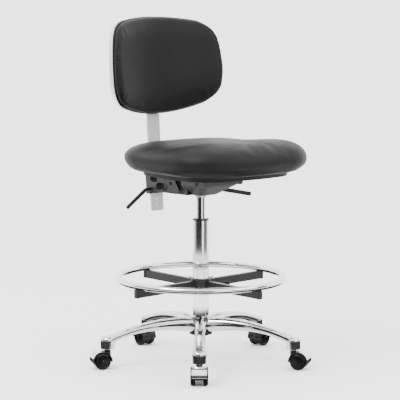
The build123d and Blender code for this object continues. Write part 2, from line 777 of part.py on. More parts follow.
def dished(inset, behind, ahead):
    """The backrest's outline made smaller by inset, between two depths from the pan's back."""
    half = back_width / 2 - inset
    top = back_top - inset
    low = back_low + inset
    waist = back_low + 0.42 * back_height
    with BuildPart() as slab:
        with BuildSketch(bar_plane):
            with BuildLine():
                top_left = (-half + 20, top - 26)
                top_right = (half - 20, top - 26)
                low_left = (-half + 8, low + 44)
                low_right = (half - 8, low + 44)
                ThreePointArc(top_left, (0, top), top_right)
                ThreePointArc(top_right, (half, waist), low_right)
                ThreePointArc(low_right, (0, low), low_left)
                ThreePointArc(low_left, (-half, waist), top_left)
            make_face()
            fillet(vertices(), back_corner - inset)
        extrude(amount=back_reach)
        with BuildSketch(arc_plane):
            with Locations((0, -back_curve - bar_half)):
                Circle(back_curve - behind)
                Circle(back_curve - ahead, mode=Mode.SUBTRACT)
        extrude(amount=back_height + 40, mode=Mode.INTERSECT)
    return slab.part


piping_width = 5
pan_shell = dished(0, 0, back_pan_lip)
pan_hollow = dished(back_pan_sheet, back_pan_sheet, back_pan_lip + 1)
with BuildPart() as backrest_pan:
    add(pan_shell)
    add(pan_hollow, mode=Mode.SUBTRACT)
    with BuildSketch(bar_plane):
        with Locations((0, back_low + back_height / 2)):
            with GridLocations(back_bolt_x, back_bolt_y, 2, 2):
                Circle(bolt_radius + bolt_gap)
    extrude(amount=2 * back_pan_sheet + bar_half, mode=Mode.SUBTRACT)
export_piece(backrest_pan, "backrest_pan")

piping_outer = dished(0.5, back_pan_lip, back_pan_lip + piping_width)
piping_inner = dished(0.5 + piping_width, back_pan_lip - 1, back_pan_lip + piping_width + 1)
with BuildPart() as backrest_piping:
    add(piping_outer)
    add(piping_inner, mode=Mode.SUBTRACT)
export_piece(backrest_piping, "backrest_piping")

pad = dished(1 + piping_width, back_pan_sheet + 1.2, back_pan_sheet + back_cushion_thickness)
with BuildPart() as backrest_cushion:
    add(pad)
    pad_front = faces().filter_by(GeomType.CYLINDER).sort_by(Axis((0, 0, 0), bar_plane.z_dir))[-1]
    fillet(pad_front.edges(), 20)
export_piece(backrest_cushion, "backrest_cushion")

with BuildPart() as back_screws:
    with BuildSketch(bar_plane.offset(-bar_half)):
        with Locations((0, back_low + back_height / 2)):
            with GridLocations(back_bolt_x, back_bolt_y, 2, 2):
                Circle(bolt_radius)
    extrude(amount=bar_thickness + back_pan_sheet)
    with BuildSketch(bar_plane.offset(-bar_half)):
        with Locations((0, back_low + back_height / 2)):
            with GridLocations(back_bolt_x, back_bolt_y, 2, 2):
                Circle(2 * bolt_radius)
    extrude(amount=-3.4)
export_piece(back_screws, "backrest_screws")

# ---------------------------------------------------------------- seat
def seat_outline(inset):
    """The seat's plan made smaller by inset, as a sketch on the floor."""
    half = seat_width / 2 - inset
    front = seat_centre_y - seat_depth / 2 + inset
    rear = seat_centre_y + seat_depth / 2 - inset
    with BuildSketch() as plan:
        with BuildLine():
            ThreePointArc((-half + 12, front + 22), (0, front), (half - 12, front + 22))
            ThreePointArc((half - 12, front + 22), (half, seat_centre_y), (half - 14, rear - 26))
            ThreePointArc((half - 14, rear - 26), (0, rear), (-half + 14, rear - 26))
            ThreePointArc((-half + 14, rear - 26), (-half, seat_centre_y), (-half + 12, front + 22))
        make_face()
        fillet(vertices(), seat_corner - inset)
    return plan.sketch


board_top = seat_plate_top + seat_board_thickness
board_plan = seat_outline(seat_board_inset)
pocket_plan = seat_outline(seat_board_inset - soft_gap)
cushion_plan = seat_outline(0)
with BuildPart() as seat_board:
    extrude(Plane.XY.offset(seat_plate_top) * board_plan, amount=seat_board_thickness)
    with BuildSketch(Plane.XY.offset(seat_plate_top)):
        with GridLocations(2 * seat_bolt_x, 2 * seat_bolt_y, 2, 2):
            Circle(bolt_radius + bolt_gap)
    extrude(amount=seat_board_thickness, mode=Mode.SUBTRACT)
export_piece(seat_board, "seat_board")

skirt_z = board_top - seat_cushion_skirt
seat_front_y = seat_centre_y - seat_depth / 2
seat_rear_y = seat_centre_y + seat_depth / 2
underside_bend = seat_rear_y - seat_board_inset - 10
rear_rise = 18                   # the underside turns up behind the board
with BuildPart() as seat_cushion:
    with BuildSketch(side_plane):
        with BuildLine():
            Polyline(
                (seat_rear_y, skirt_z + rear_rise),
                (underside_bend, skirt_z),
                (seat_front_y, skirt_z),
                (seat_front_y, skirt_z + seat_cushion_front),
                (seat_rear_y, skirt_z + rear_rise + seat_cushion_rear),
                close=True,
            )
        make_face()
    extrude(amount=seat_width, both=True)
    extrude(cushion_plan, amount=2 * skirt_z, mode=Mode.INTERSECT)
    fillet(faces().sort_by(Axis.Z)[-1].edges(), 24)
    extrude(
        Plane.XY.offset(board_top - seat_cushion_skirt - 1) * pocket_plan,
        amount=seat_cushion_skirt + 1 + soft_gap, mode=Mode.SUBTRACT,
    )
export_piece(seat_cushion, "seat_cushion")

bolt_head = 3.5
with BuildPart() as seat_screws:
    with BuildSketch(Plane.XY.offset(seat_plate_top - sheet)):
        with GridLocations(2 * seat_bolt_x, 2 * seat_bolt_y, 2, 2):
            Circle(bolt_radius)
    extrude(amount=sheet + seat_board_thickness)
    with BuildSketch(Plane.XY.offset(seat_plate_top - sheet)):
        with GridLocations(2 * seat_bolt_x, 2 * seat_bolt_y, 2, 2):
            Circle(2 * bolt_radius)
    extrude(amount=-bolt_head)
export_piece(seat_screws, "seat_screws")
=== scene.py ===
# %% [markdown]
# # A drafting chair's looks, built round its CAD frame
#
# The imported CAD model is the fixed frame. This script gives every CAD part a finish, and builds
# the soft and turned pieces that CAD only blocks out: the vinyl seat and backrest, the piping,
# the caster wheels and the upholsterer's staples. Lengths are in metres, the floor is z = 0, and
# the gas lift stands on the origin with the sitter facing -Y.

# %%
import json
import math

import bpy
import numpy as np
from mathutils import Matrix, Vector


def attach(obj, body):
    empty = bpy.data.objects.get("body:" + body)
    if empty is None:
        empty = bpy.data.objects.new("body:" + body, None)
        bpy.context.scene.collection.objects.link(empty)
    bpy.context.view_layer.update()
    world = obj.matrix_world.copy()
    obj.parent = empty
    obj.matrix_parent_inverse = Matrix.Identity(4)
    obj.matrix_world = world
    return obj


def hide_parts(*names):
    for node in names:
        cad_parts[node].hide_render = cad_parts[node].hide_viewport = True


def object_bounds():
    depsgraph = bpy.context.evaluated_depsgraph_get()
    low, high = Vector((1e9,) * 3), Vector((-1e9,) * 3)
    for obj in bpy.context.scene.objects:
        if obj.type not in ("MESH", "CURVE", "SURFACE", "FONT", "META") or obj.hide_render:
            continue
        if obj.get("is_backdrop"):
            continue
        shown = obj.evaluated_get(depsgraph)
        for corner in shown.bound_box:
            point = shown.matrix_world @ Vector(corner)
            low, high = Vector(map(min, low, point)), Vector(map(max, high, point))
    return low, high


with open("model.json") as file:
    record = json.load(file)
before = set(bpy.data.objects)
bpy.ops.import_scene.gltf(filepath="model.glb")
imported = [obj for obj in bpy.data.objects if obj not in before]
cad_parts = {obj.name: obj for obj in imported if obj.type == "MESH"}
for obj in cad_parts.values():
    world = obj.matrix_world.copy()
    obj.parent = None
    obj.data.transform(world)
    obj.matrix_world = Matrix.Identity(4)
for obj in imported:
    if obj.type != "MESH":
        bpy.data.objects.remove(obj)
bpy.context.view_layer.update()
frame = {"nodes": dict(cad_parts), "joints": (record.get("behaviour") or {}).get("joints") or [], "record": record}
nodes = frame["nodes"]
scene = bpy.context.scene

# %% [markdown]
# ## Finishes
#
# Each finish is one Principled shader. Object coordinates drive a noise that varies the
# roughness a little, as handling and plating do, and a second, finer noise gives the surface
# its grain through a bump node.


# %%
def finish(name, colour, metallic, roughness, vary=0.0, vary_scale=9.0,
           grain_scale=0.0, grain_height=0.0, specular=0.5, coat=0.0):
    """A procedural finish whose roughness and surface vary a little from place to place."""
    made = bpy.data.materials.new(name)
    made.use_nodes = True
    tree = made.node_tree
    shader = tree.nodes["Principled BSDF"]
    shader.inputs["Base Color"].default_value = (*colour, 1)
    shader.inputs["Metallic"].default_value = metallic
    shader.inputs["Roughness"].default_value = roughness
    shader.inputs["Specular IOR Level"].default_value = specular
    shader.inputs["Coat Weight"].default_value = coat
    shader.inputs["Coat Roughness"].default_value = 0.12
    place = tree.nodes.new("ShaderNodeTexCoord")
    if vary:
        patches = tree.nodes.new("ShaderNodeTexNoise")
        patches.inputs["Scale"].default_value = vary_scale
        patches.inputs["Detail"].default_value = 4
        spread = tree.nodes.new("ShaderNodeMapRange")
        spread.inputs["From Min"].default_value = 0.3
        spread.inputs["From Max"].default_value = 0.7
        spread.inputs["To Min"].default_value = max(0.02, roughness - vary)
        spread.inputs["To Max"].default_value = roughness + vary
        tree.links.new(place.outputs["Object"], patches.inputs["Vector"])
        tree.links.new(patches.outputs["Fac"], spread.inputs["Value"])
        tree.links.new(spread.outputs["Result"], shader.inputs["Roughness"])
    if grain_height:
        grain = tree.nodes.new("ShaderNodeTexNoise")
        grain.inputs["Scale"].default_value = grain_scale
        grain.inputs["Detail"].default_value = 3
        bump = tree.nodes.new("ShaderNodeBump")
        bump.inputs["Strength"].default_value = 0.35
        bump.inputs["Distance"].default_value = grain_height
        tree.links.new(place.outputs["Object"], grain.inputs["Vector"])
        tree.links.new(grain.outputs["Fac"], bump.inputs["Height"])
        tree.links.new(bump.outputs["Normal"], shader.inputs["Normal"])
    return made


def leather_grain(made, scale, height):
    """Adds the pebbled cells of embossed vinyl to a finish, under its fine grain."""
    tree = made.node_tree
    shader = tree.nodes["Principled BSDF"]
    place = tree.nodes["Texture Coordinate"]
    cells = tree.nodes.new("ShaderNodeTexVoronoi")
    cells.feature = "SMOOTH_F1"
    cells.inputs["Scale"].default_value = scale
    pebbles = tree.nodes.new("ShaderNodeBump")
    pebbles.invert = True
    pebbles.inputs["Strength"].default_value = 0.3
    pebbles.inputs["Distance"].default_value = height
    tree.links.new(place.outputs["Object"], cells.inputs["Vector"])
    tree.links.new(cells.outputs["Distance"], pebbles.inputs["Height"])
    fine = shader.inputs["Normal"].links[0].from_node
    tree.links.new(pebbles.outputs["Normal"], fine.inputs["Normal"])


def wood_layers(made, light, dark):
    """Plies that show as bands along z, with a soft figure across them."""
    tree = made.node_tree
    shader = tree.nodes["Principled BSDF"]
    place = tree.nodes["Texture Coordinate"]
    bands = tree.nodes.new("ShaderNodeTexWave")
    bands.bands_direction = "Z"
    bands.inputs["Scale"].default_value = 130
    bands.inputs["Distortion"].default_value = 1.5
    ramp = tree.nodes.new("ShaderNodeValToRGB")
    ramp.color_ramp.elements[0].color = (*dark, 1)
    ramp.color_ramp.elements[1].color = (*light, 1)
    tree.links.new(place.outputs["Object"], bands.inputs["Vector"])
    tree.links.new(bands.outputs["Fac"], ramp.inputs["Fac"])
    tree.links.new(ramp.outputs["Color"], shader.inputs["Base Color"])


finishes = {
    "polished_aluminium": finish(
        "polished_aluminium", (0.62, 0.63, 0.64), 1, 0.09, vary=0.03, grain_scale=60, grain_height=0.0003
    ),
    "chrome": finish("chrome", (0.72, 0.73, 0.74), 1, 0.06, vary=0.015),
    "dark_steel_paint": finish(
        "dark_steel_paint", (0.018, 0.019, 0.019), 0, 0.42, vary=0.06,
        grain_scale=900, grain_height=0.0002, specular=0.35,
    ),
    "black_paint": finish(
        "black_paint", (0.008, 0.008, 0.009), 0, 0.36, vary=0.06, grain_scale=900, grain_height=0.0002,
        specular=0.3,
    ),
    "grey_steel_bar": finish(
        "grey_steel_bar", (0.36, 0.36, 0.345), 0, 0.42, vary=0.05, grain_scale=700, grain_height=0.0001
    ),
    "bright_steel": finish("bright_steel", (0.62, 0.63, 0.64), 1, 0.28, vary=0.08, vary_scale=60),
    "black_plastic": finish(
        "black_plastic", (0.003, 0.003, 0.0035), 0, 0.32, vary=0.05, grain_scale=1200, grain_height=0.0001,
        specular=0.35,
    ),
    "caster_tread": finish("caster_tread", (0.0015, 0.0015, 0.0015), 0, 0.10, vary=0.03, vary_scale=40, specular=0.3),
    "black_vinyl": finish(
        "black_vinyl", (0.0040, 0.0041, 0.0040), 0, 0.50, vary=0.05, vary_scale=14,
        grain_scale=2600, grain_height=0.0003, specular=0.16,
    ),
    "black_piping": finish("black_piping", (0.004, 0.004, 0.004), 0, 0.34, vary=0.04, specular=0.3),
    "plywood": finish("plywood", (0.45, 0.33, 0.20), 0, 0.7, vary=0.1, grain_scale=300, grain_height=0.0003),
}
leather_grain(finishes["black_vinyl"], 750, 0.0005)
wood_layers(finishes["plywood"], (0.50, 0.37, 0.23), (0.36, 0.25, 0.14))
print("finishes:", ", ".join(finishes))

# %% [markdown]
# Every CAD node takes the finish of its material slot in the record. Faces are shaded smooth
# except across sharp edges, so that tubes read as round and stamped sheet stays crisp.

# %%
slot_of = {row["node"]: row["material_slot"] for row in frame["record"]["subparts"]}


def shade(piece, sharpest=35):
    """Smooth shading with edges sharper than an angle left crisp."""
    mesh = piece.data
    mesh.polygons.foreach_set("use_smooth", [True] * len(mesh.polygons))
    mesh.set_sharp_from_angle(angle=math.radians(sharpest))


for name, piece in nodes.items():
    piece.data.materials.clear()
    piece.data.materials.append(finishes[slot_of[name]])
    shade(piece)
print("finished", len(slot_of), "CAD nodes")

# %% [markdown]
# ## Helpers for the built pieces


# %%
def mesh_piece(name, points, faces, slot, body, stands_for=(), smooth=60):
    """A mesh in the row frame with a finish, riding on a body and standing for CAD nodes."""
    mesh = bpy.data.meshes.new(name)
    mesh.from_pydata([tuple(p) for p in points], [], faces)
    mesh.validate()
    piece = bpy.data.objects.new(name, mesh)
    scene.collection.objects.link(piece)
    mesh.materials.append(finishes[slot])
    shade(piece, smooth)
    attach(piece, body)
    if stands_for:
        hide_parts(*stands_for)
    return piece


def hull(points):
    """The convex outline round flat points, anticlockwise."""
    ordered = sorted(set((round(float(x), 6), round(float(y), 6)) for x, y in points))

    def half(run):
        chain = []
        for p in run:
            while len(chain) > 1:
                (ax, ay), (bx, by) = chain[-2], chain[-1]
                if (bx - ax) * (p[1] - ay) - (by - ay) * (p[0] - ax) > 0:
                    break
                chain.pop()
            chain.append(p)
        return chain[:-1]

    return half(ordered) + half(ordered[::-1])


def even_outline(corners, centre, count):
    """Points at even angles round the centre on a convex outline, lightly smoothed."""
    ends = [np.array(c) - centre for c in corners]
    found = []
    for k in range(count):
        turn = 2 * math.pi * k / count
        ray = np.array((math.cos(turn), math.sin(turn)))
        best = 0
        for a, b in zip(ends, ends[1:] + ends[:1]):
            side = b - a
            cross = ray[0] * side[1] - ray[1] * side[0]
            if abs(cross) < 1e-12:
                continue
            reach = (a[0] * side[1] - a[1] * side[0]) / cross
            along = (a[0] * ray[1] - a[1] * ray[0]) / cross
            if reach > 0 and -1e-9 <= along <= 1 + 1e-9:
                best = max(best, reach)
        found.append(ray * best)
    found = np.array(found)
    for _ in range(3):
        found = 0.5 * found + 0.25 * (np.roll(found, 1, 0) + np.roll(found, -1, 0))
    return found + centre


def pillow(outline, centre, upper, lower, place, rings=26):
    """Points and faces of a closed cushion: rings of the outline from its edge to its middle."""
    count = len(outline)
    shares = [math.cos(math.pi / 2 * k / rings) for k in range(rings)]
    points, faces = [], []
    for surface, step in ((upper, 1), (lower, -1)):
        start = len(points)
        for share in shares:
            for p in centre + share * (outline - centre):
                points.append(place(p[0], p[1], surface(p[0], p[1], share)))
        points.append(place(centre[0], centre[1], surface(centre[0], centre[1], 0)))
        middle = len(points) - 1
        for k in range(rings - 1):
            for i in range(count):
                j = (i + 1) % count
                ring = (start + k * count + i, start + k * count + j,
                        start + (k + 1) * count + j, start + (k + 1) * count + i)
                faces.append(ring[::step])
        last = start + (rings - 1) * count
        for i in range(count):
            faces.append((last + i, last + (i + 1) % count, middle)[::step])
    base = rings * count + 1
    for i in range(count):
        j = (i + 1) % count
        faces.append((base + i, base + j, j, i))
    return points, faces


def remesh(piece, size):
    """Even quads over the whole piece, ready for cloth."""
    modifier = piece.modifiers.new("even", "REMESH")
    modifier.mode = "VOXEL"
    modifier.voxel_size = size
    bake(piece, modifier)


def bake(piece, modifier):
    """Keeps what a modifier makes and removes the modifier."""
    graph = bpy.context.evaluated_depsgraph_get()
    made = bpy.data.meshes.new_from_object(piece.evaluated_get(graph))
    piece.modifiers.remove(modifier)
    kept = list(piece.data.materials)
    piece.data = made
    made.name = piece.name
    made.materials.clear()
    for material in kept:
        made.materials.append(material)
    shade(piece, 80)


def stuff(piece, held, most):
    """Fills a cover under pressure with its held points fixed, and caps how far any point moves."""
    group = piece.vertex_groups.new(name="held")
    rest = np.array([v.co for v in piece.data.vertices])
    group.add([i for i, p in enumerate(rest) if held(p)], 1.0, "REPLACE")
    cloth = piece.modifiers.new("stuffing", "CLOTH")
    cloth.settings.quality = 4
    cloth.settings.mass = 0.35
    cloth.settings.tension_stiffness = 22
    cloth.settings.compression_stiffness = 22
    cloth.settings.shear_stiffness = 8
    cloth.settings.bending_stiffness = 2.5
    cloth.settings.use_pressure = True
    cloth.settings.uniform_pressure_force = 4
    cloth.settings.effector_weights.gravity = 0
    cloth.settings.vertex_group_mass = "held"
    cloth.collision_settings.use_collision = False
    cloth.point_cache.frame_start = 1
    cloth.point_cache.frame_end = 20
    for number in range(1, 21):
        scene.frame_set(number)
    graph = bpy.context.evaluated_depsgraph_get()
    moved = np.array([v.co for v in piece.evaluated_get(graph).data.vertices])
    scene.frame_set(1)
    piece.modifiers.remove(cloth)
    shift = moved - rest
    length = np.maximum(np.linalg.norm(shift, axis=1), 1e-9)
    shift *= np.minimum(1, most / length)[:, None]
    piece.data.vertices.foreach_set("co", (rest + shift).astype(np.float32).ravel())
    piece.data.update()
    print(piece.name, "moved at most", round(float(length.max()) * 1000, 1), "mm, capped at", most * 1000)


def soften(piece, rounds):
    """Evens out the steps that voxels leave."""
    modifier = piece.modifiers.new("even out", "SMOOTH")
    modifier.iterations = rounds
    modifier.factor = 0.5
    bake(piece, modifier)


def refine(piece):
    """One level of subdivision."""
    modifier = piece.modifiers.new("finer", "SUBSURF")
    modifier.levels = 1
    bake(piece, modifier)


print("helpers ready")

# %% [markdown]
# ## Seat cushion
#
# The cover is a contoured pad. Its edge line runs a little higher at the rear than at the
# front, the top swells into a thigh roll in front and dips across the hips, and the underside
# turns up behind the board. The outline comes from the CAD cushion.

# %%
seat_points = np.array([v.co for v in nodes["seat_cushion"].data.vertices])
seat_low, seat_high = seat_points.min(0), seat_points.max(0)
seat_centre = (seat_low[:2] + seat_high[:2]) / 2
seat_edge = even_outline(hull(seat_points[:, :2]), seat_centre, 176)
seat_half = (seat_high[:2] - seat_low[:2]) / 2


def seat_lengthwise(y):
    """0 at the front edge and 1 at the rear edge."""
    return float(np.clip((y - seat_low[1]) / (seat_high[1] - seat_low[1]), 0, 1))


def seat_top(x, y, share):
    """The top's height: a rounded edge, a thigh roll, and a dip across the hips."""
    back = seat_lengthwise(y)
    edge_line = 0.641 + 0.006 * back
    side = abs(x - seat_centre[0]) / seat_half[0]
    crown = 0.700 - 0.012 * back
    dip = 0.010 * math.exp(-((back - 0.60) / 0.22) ** 2) * (0.45 + 0.75 * side * side)
    roll = 0.003 * math.exp(-((back - 0.25) / 0.16) ** 2)
    full = crown - dip + roll - edge_line
    return edge_line + full * (1 - share ** 6.0) ** 0.5


def seat_under(x, y, share):
    """The underside's height, flat in the middle and rounded up to the edge line."""
    back = seat_lengthwise(y)
    edge_line = 0.641 + 0.006 * back
    flat = 0.5985 + 0.022 * max(0, (back - 0.83) / 0.17) ** 1.3
    return edge_line - (edge_line - flat) * (1 - share ** 8) ** 0.5


seat_shape = pillow(seat_edge, seat_centre, seat_top, seat_under, lambda x, y, z: (x, y, z))
seat_cover = mesh_piece("seat_cover", *seat_shape, "black_vinyl", "seat", ["seat_cushion"], smooth=80)
remesh(seat_cover, 0.0058)
soften(seat_cover, 4)
stuff(seat_cover, lambda p: p[2] < 0.608 + 0.012 * seat_lengthwise(p[1]), 0.002)
soften(seat_cover, 2)
refine(seat_cover)
print("seat cover:", len(seat_cover.data.vertices), "points")

# %% [markdown]
# ## Backrest cushion and piping
#
# The backrest follows a curved pan. A point is given by how far it lies across the bar, how
# far along it, and how far it stands from the pan's back, as the CAD source measures them.

# %%
lean = math.radians(4)
bar_foot = np.array((0, 0.219, 0.545))
along_bar = np.array((0, math.sin(lean), math.cos(lean)))
to_sitter = np.array((0, -math.cos(lean), math.sin(lean)))
pan_radius = 0.390
bar_half = 0.003


def on_pan(x, y, depth):
    """A point over the curved pan, in the row frame."""
    out = pan_radius + bar_half - math.sqrt((pan_radius - depth) ** 2 - x * x)
    return bar_foot + np.array((x, 0, 0)) + y * along_bar + out * to_sitter


def pan_depth(point):
    """How far a point stands from the pan's curved back."""
    out = float((np.array(point) - bar_foot) @ to_sitter)
    return pan_radius - math.hypot(pan_radius + bar_half - out, point[0])


def flat_of(name):
    """A CAD node's points across and along the bar."""
    points = np.array([v.co for v in nodes[name].data.vertices]) - bar_foot
    return np.stack((points[:, 0], points @ along_bar), 1)


pad_flat = flat_of("backrest_cushion")
pad_centre = (pad_flat.min(0) + pad_flat.max(0)) / 2
pad_half = (pad_flat.max(0) - pad_flat.min(0)) / 2
pad_edge = even_outline(hull(pad_flat), pad_centre, 168)
pad_outward = pad_edge - pad_centre
pad_outward /= np.linalg.norm(pad_outward, axis=1)[:, None]
pad_edge = pad_edge + 0.0055 * pad_outward


def pad_front(x, y, share):
    """How far the pad's face stands from the pan's back, fuller low down for the lumbar."""
    up = (y - pad_centre[1]) / pad_half[1]
    full = 0.032 + 0.0035 * math.exp(-((up + 0.35) / 0.45) ** 2)
    return 0.0265 + (full - 0.0115) * (1 - share ** 5.5) ** 0.5


def pad_back(x, y, share):
    """The pad's back: it hangs over the edge trim and sits just inside the pan."""
    return 0.0265 - 0.0225 * (1 - share ** 10) ** 0.5


pad_shape = pillow(pad_edge, pad_centre, pad_front, pad_back, on_pan)
back_cover = mesh_piece("backrest_cover", *pad_shape, "black_vinyl", "backrest", ["backrest_cushion"], smooth=80)
remesh(back_cover, 0.0052)
soften(back_cover, 4)
stuff(back_cover, lambda p: pan_depth(p) < 0.022, 0.002)
soften(back_cover, 2)
refine(back_cover)
print("backrest cover:", len(back_cover.data.vertices), "points")

# %% [markdown]
# The edge trim is a round bead that closes the joint between the vinyl and the chromed rim.

# %%
def bead(name, path, radius, slot, body, stands_for):
    """A closed round bead along points in the row frame."""
    curve = bpy.data.curves.new(name + "_path", "CURVE")
    curve.dimensions = "3D"
    curve.bevel_depth = radius
    curve.bevel_resolution = 5
    spline = curve.splines.new("POLY")
    spline.points.add(len(path) - 1)
    for point, p in zip(spline.points, path):
        point.co = (*p, 1)
    spline.use_cyclic_u = True
    drawn = bpy.data.objects.new(name + "_path", curve)
    scene.collection.objects.link(drawn)
    graph = bpy.context.evaluated_depsgraph_get()
    mesh = bpy.data.meshes.new_from_object(drawn.evaluated_get(graph))
    bpy.data.objects.remove(drawn)
    piece = bpy.data.objects.new(name, mesh)
    scene.collection.objects.link(piece)
    mesh.name = name
    mesh.materials.clear()
    mesh.materials.append(finishes[slot])
    shade(piece, 80)
    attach(piece, body)
    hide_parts(*stands_for)
    return piece


rim_flat = flat_of("backrest_pan")
rim_centre = (rim_flat.min(0) + rim_flat.max(0)) / 2
rim_edge = even_outline(hull(rim_flat), rim_centre, 240)
rim_inward = rim_centre - rim_edge
rim_inward /= np.linalg.norm(rim_inward, axis=1)[:, None]
trim_line = [on_pan(x, y, 0.0166) for x, y in rim_edge + 0.0037 * rim_inward]
trim = bead("backrest_trim", trim_line, 0.0028, "black_piping", "backrest", ["backrest_piping"])
print("trim:", len(trim.data.vertices), "points")

# %% [markdown]
# ## Caster wheels
#
# Each wheel is turned: a rounded tread, a raised rim and a dished disc with a small hub boss.
# Its axis and body come from the roll joints, and its two faces from the CAD wheel.


# %%
def turned(name, profile, middle, axis, slot, body, stands_for, count=72):
    """A piece turned about an axis from (radius, distance along the axis) points."""
    axis = np.array(axis) / np.linalg.norm(axis)
    up = np.array((0.0, 0.0, 1.0))
    across = np.cross(axis, up)
    points, faces = [], []
    for radius, far in profile:
        for k in range(count):
            turn = 2 * math.pi * k / count
            spoke = math.cos(turn) * across + math.sin(turn) * up
            points.append(middle + far * axis + radius * spoke)
    rows = len(profile)
    for row in range(rows):
        after = (row + 1) % rows
        for k in range(count):
            side = (k + 1) % count
            faces.append((row * count + k, row * count + side, after * count + side, after * count + k))
    return mesh_piece(name, points, faces, slot, body, stands_for, smooth=38)


def rounded(radius, reach, corner, steps=7):
    """A quarter round on a profile, from the tread round to the face."""
    return [
        (radius - corner + corner * math.cos(math.pi / 2 * k / steps),
         reach - corner + corner * math.sin(math.pi / 2 * k / steps))
        for k in range(steps + 1)
    ]


rolls = [j for j in frame["joints"] if "_roll_" in j["name"]]
for joint in rolls:
    node = joint["child"]
    middle = np.array(joint["pos_m"])
    axis = np.array(joint["axis"])
    offsets = (np.array([v.co for v in nodes[node].data.vertices]) - middle) @ axis
    hand = 1 if offsets.mean() > 0 else -1
    inner, outer = sorted((abs(offsets.min()), abs(offsets.max())))
    tread = 0.0254
    face = [
        (0.0200, outer), (0.0195, outer - 0.0003), (0.0190, outer - 0.0012),
        (0.0184, outer - 0.0013), (0.0150, outer - 0.0009), (0.0100, outer - 0.0006),
        (0.0066, outer - 0.0005), (0.0063, outer + 0.0001), (0.0052, outer + 0.0006), (0.0030, outer + 0.0008),
        (0.0021, outer + 0.0008),
    ]
    profile = [(0.0042, inner), (tread - 0.0008, inner), (tread, inner + 0.0008)]
    profile += rounded(tread, outer, 0.0050) + face
    profile += [(0.0021, outer - 0.004), (0.0042, outer - 0.004)]
    turned("turned_" + node, [(r, hand * far) for r, far in profile][::-hand], middle, axis,
           "caster_tread", joint["child"], [node])
print("turned", len(rolls), "caster wheels")

# %% [markdown]
# ## Underside of the seat
#
# The vinyl is pulled round the board and stapled underneath. The turned-under strip is one
# piece, and Geometry Nodes repeats one staple round it.

# %%
board_points = np.array([v.co for v in nodes["seat_board"].data.vertices])
board_bottom = float(board_points[:, 2].min())
board_centre = (board_points.min(0)[:2] + board_points.max(0)[:2]) / 2
board_edge = even_outline(hull(board_points[:, :2]), board_centre, 160)
board_inward = board_centre - board_edge
board_inward /= np.linalg.norm(board_inward, axis=1)[:, None]
strip_rows = [
    (-0.0026, -0.0130), (-0.0026, 0.0002), (-0.0014, 0.0013), (0.020, 0.0013),
    (0.027, 0.0009), (0.027, 0.0001), (-0.0004, 0.0001), (-0.0004, -0.0130),
]
strip_points = []
for inset, drop in strip_rows:
    for k, p in enumerate(board_edge + inset * board_inward):
        wave = 0.0018 * math.sin(k * 0.61) if inset > 0.01 else 0.0
        x, y = p + wave * board_inward[k]
        strip_points.append((x, y, board_bottom - drop))
strip_faces = []
for row in range(len(strip_rows)):
    after = (row + 1) % len(strip_rows)
    for k in range(160):
        side = (k + 1) % 160
        strip_faces.append((row * 160 + k, after * 160 + k, after * 160 + side, row * 160 + side))
turned_under = mesh_piece("seat_vinyl_turned_under", strip_points, strip_faces, "black_vinyl", "seat")


def repeat_group(name):
    """A node group that sets one small wire staple at even steps along a curve."""
    group = bpy.data.node_groups.new(name, "GeometryNodeTree")
    group.interface.new_socket("Path", in_out="INPUT", socket_type="NodeSocketGeometry")
    group.interface.new_socket("Count", in_out="INPUT", socket_type="NodeSocketInt")
    group.interface.new_socket("Size", in_out="INPUT", socket_type="NodeSocketVector")
    group.interface.new_socket("Finish", in_out="INPUT", socket_type="NodeSocketMaterial")
    group.interface.new_socket("Pieces", in_out="OUTPUT", socket_type="NodeSocketGeometry")
    given = group.nodes.new("NodeGroupInput")
    result = group.nodes.new("NodeGroupOutput")
    evenly = group.nodes.new("GeometryNodeResampleCurve")
    tangent = group.nodes.new("GeometryNodeInputTangent")
    turn = group.nodes.new("FunctionNodeAlignRotationToVector")
    turn.axis = "X"
    bar = group.nodes.new("GeometryNodeMeshCube")
    spread = group.nodes.new("GeometryNodeInstanceOnPoints")
    real = group.nodes.new("GeometryNodeRealizeInstances")
    painted = group.nodes.new("GeometryNodeSetMaterial")
    link = group.links.new
    link(given.outputs["Path"], evenly.inputs["Curve"])
    link(given.outputs["Count"], evenly.inputs["Count"])
    link(given.outputs["Size"], bar.inputs["Size"])
    link(tangent.outputs["Tangent"], turn.inputs["Vector"])
    link(evenly.outputs["Curve"], spread.inputs["Points"])
    link(bar.outputs["Mesh"], spread.inputs["Instance"])
    link(turn.outputs["Rotation"], spread.inputs["Rotation"])
    link(spread.outputs["Instances"], real.inputs["Geometry"])
    link(real.outputs["Geometry"], painted.inputs["Geometry"])
    link(given.outputs["Finish"], painted.inputs["Material"])
    link(painted.outputs["Geometry"], result.inputs["Pieces"])
    return group


def repeat_along(name, path, settings, body):
    """Runs a repeating node group on a closed path and keeps the mesh that it makes."""
    curve = bpy.data.curves.new(name, "CURVE")
    curve.dimensions = "3D"
    spline = curve.splines.new("POLY")
    spline.points.add(len(path) - 1)
    for point, p in zip(spline.points, path):
        point.co = (*p, 1)
    spline.use_cyclic_u = True
    source = bpy.data.objects.new(name + "_source", curve)
    scene.collection.objects.link(source)
    modifier = source.modifiers.new("repeat", "NODES")
    modifier.node_group = repeat_group(name)
    for item in modifier.node_group.interface.items_tree:
        if item.in_out == "INPUT" and item.name in settings:
            modifier[item.identifier] = settings[item.name]
    graph = bpy.context.evaluated_depsgraph_get()
    graph.update()
    mesh = bpy.data.meshes.new_from_object(source.evaluated_get(graph))
    bpy.data.objects.remove(source)
    mesh.name = name
    piece = bpy.data.objects.new(name, mesh)
    scene.collection.objects.link(piece)
    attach(piece, body)
    return piece


staple_line = [(*p, board_bottom - 0.0014) for p in board_edge + 0.012 * board_inward]
staples = repeat_along(
    "seat_staples", staple_line,
    {"Count": 76, "Size": (0.0095, 0.0007, 0.0006), "Finish": finishes["bright_steel"]},
    "seat",
)
print("staples:", len(staples.data.polygons) // 6)

